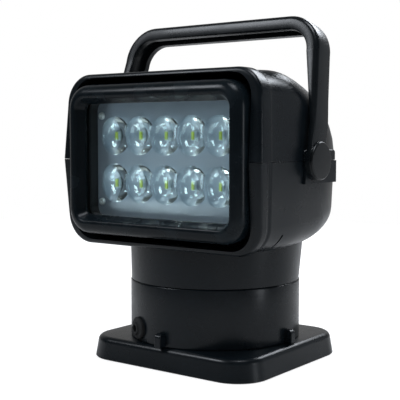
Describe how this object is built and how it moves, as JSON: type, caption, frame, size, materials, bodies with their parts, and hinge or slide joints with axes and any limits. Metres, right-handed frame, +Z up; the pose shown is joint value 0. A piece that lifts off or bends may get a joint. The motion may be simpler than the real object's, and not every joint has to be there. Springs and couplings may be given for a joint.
{
  "type": "marine searchlight",
  "caption": "Remote-controlled marine searchlight: LED lamp that tilts in a domed head, which pans on a round column over a square magnetic base, with a fold-back handle.",
  "frame": {"origin": "on the pan axis, at the underside of the base", "axes": "+Z up along the pan axis; the lamp faces -Y; +X to the right of someone who looks at the lamp's face"},
  "size_m": [0.1962, 0.1705, 0.2554],
  "materials": {
    "black_abs": "satin moulded",
    "cover_black": "matt moulded",
    "bezel_gloss": "gloss moulded",
    "handle_black": "satin moulded",
    "cap_black": "satin moulded",
    "window_glass": "clear polished",
    "optic_clear": "clear moulded lens",
    "led_plate": "smooth grey coated board",
    "cast_aluminium": "black coated casting",
    "steel": "zinc plated",
    "motor_steel": "drawn can",
    "magnet": "nickel plated",
    "rubber": "matt",
    "nylon": "moulded natural",
    "circuit_board": "solder mask"
  },
  "bodies": {
    "base": {"base_plate": "black_abs", "bottom_cover": "cover_black", "magnet_1": "magnet", "magnet_2": "magnet", "magnet_3": "magnet", "magnet_4": "magnet", "column": "black_abs", "column_screw_1": "steel", "column_screw_2": "steel", "column_screw_3": "steel", "column_screw_4": "steel", "cable_gland": "rubber", "pan_ring_gear": "nylon", "thrust_washer": "nylon"},
    "head": {"lower_shell": "black_abs", "upper_shell": "black_abs", "shell_screw_1": "steel", "shell_screw_2": "steel", "shell_screw_3": "steel", "shell_screw_4": "steel", "pan_spindle": "steel", "spindle_nut": "steel", "pan_motor": "motor_steel", "tilt_motor": "motor_steel", "tilt_bracket": "steel", "control_board": "circuit_board", "pivot_bush_right": "nylon", "pivot_bush_left": "nylon", "handle_bolt_right": "steel", "handle_bolt_left": "steel"},
    "lamp": {"bezel": "bezel_gloss", "glass": "window_glass", "glass_gasket": "rubber", "lamp_housing": "cast_aluminium", "led_board": "led_plate", "board_screw_1": "steel", "board_screw_2": "steel", "board_screw_3": "steel", "board_screw_4": "steel", "optic_01": "optic_clear", "optic_02": "optic_clear", "optic_03": "optic_clear", "optic_04": "optic_clear", "optic_05": "optic_clear", "optic_06": "optic_clear", "optic_07": "optic_clear", "optic_08": "optic_clear", "optic_09": "optic_clear", "optic_10": "optic_clear", "pivot_pin_right": "steel", "pivot_pin_left": "steel", "sector_gear": "nylon"},
    "handle": {"handle_bar": "handle_black", "hub_cap_right": "cap_black", "hub_cap_left": "cap_black"},
    "pan_gear": {"pan_pinion": "nylon"},
    "tilt_gear": {"tilt_pinion": "nylon"}
  },
  "joints": [
    {"name": "pan", "type": "hinge", "parent": "base", "child": "head", "pos_m": [0, 0, 0.06], "axis": [0, 0, 1], "range_deg": [-180, 180]},
    {"name": "tilt", "type": "hinge", "parent": "head", "child": "lamp", "pos_m": [0, -0.06, 0.1513], "axis": [1, 0, 0], "range_deg": [-60, 60]},
    {"name": "handle_fold", "type": "hinge", "parent": "head", "child": "handle", "pos_m": [0, -0.008, 0.1513], "axis": [-1, 0, 0], "range_deg": [0, 34]},
    {"name": "pan_pinion_spin", "type": "hinge", "parent": "head", "child": "pan_gear", "pos_m": [0, 0.04, 0.056], "axis": [0, 0, 1], "range_deg": [-905, 905]},
    {"name": "tilt_pinion_spin", "type": "hinge", "parent": "head", "child": "tilt_gear", "pos_m": [0, 0.005, 0.1513], "axis": [1, 0, 0], "range_deg": [-335, 335]}
  ],
  "couplings": [
    {"joint": "pan_pinion_spin", "follows": "pan", "ratio": -5},
    {"joint": "tilt_pinion_spin", "follows": "tilt", "ratio": -5.5}
  ]
}
